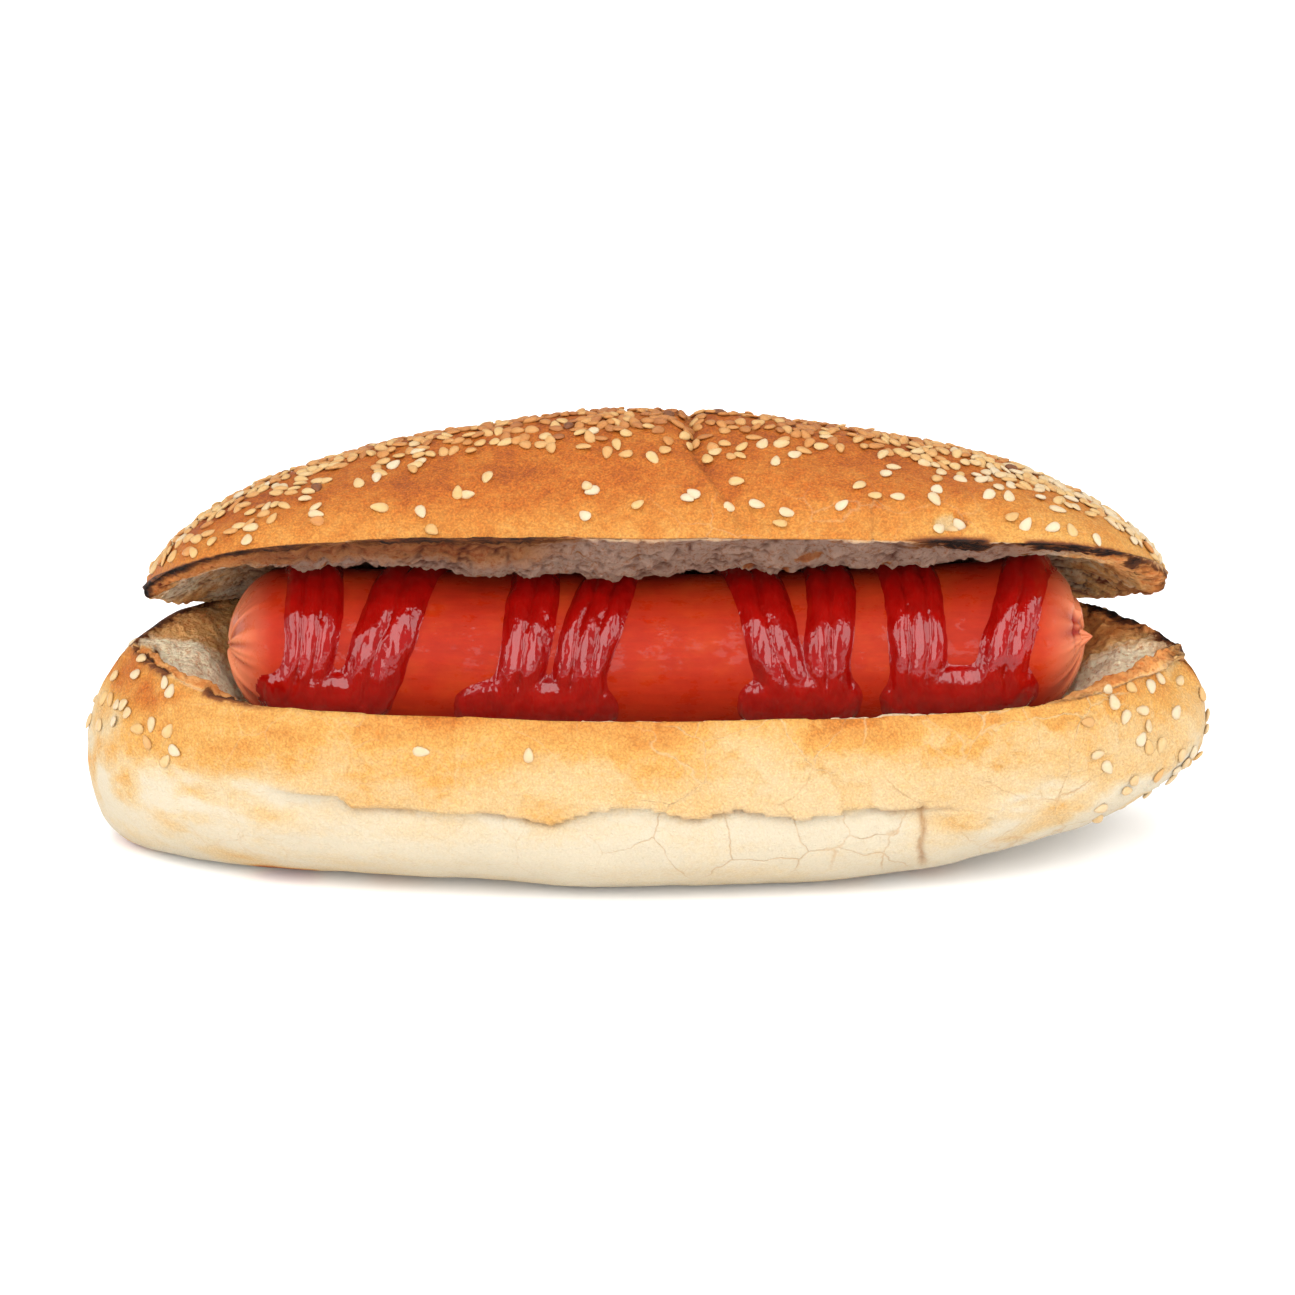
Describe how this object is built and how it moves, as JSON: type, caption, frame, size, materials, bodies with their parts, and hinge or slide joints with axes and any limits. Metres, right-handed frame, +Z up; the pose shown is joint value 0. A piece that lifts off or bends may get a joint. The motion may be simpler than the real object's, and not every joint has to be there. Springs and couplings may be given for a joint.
{
  "type": "hot dog",
  "caption": "Sesame roll slit along one side and hinged at the back, opened over a thick frankfurter crossed by a zigzag of ketchup.",
  "frame": {"origin": "middle of the bounding box at the roll's underside, on the plane that it rests on", "axes": "+X along the roll, towards the end of the frankfurter that has the twisted nub; -Y is the open side that faces whoever eats it; +Z up"},
  "size_m": [0.2238, 0.0804, 0.0875],
  "materials": {
    "bread": "baked crust, golden above and pale below, dry",
    "crumb": "torn and toasted crumb, rough and open",
    "sesame": "hulled sesame seeds, lightly toasted",
    "frankfurter": "smooth moist casing",
    "ketchup": "thick wet sauce, very glossy"
  },
  "bodies": {
    "root": {"bun": "bread", "frankfurter": "frankfurter"}
  },
  "joints": []
}
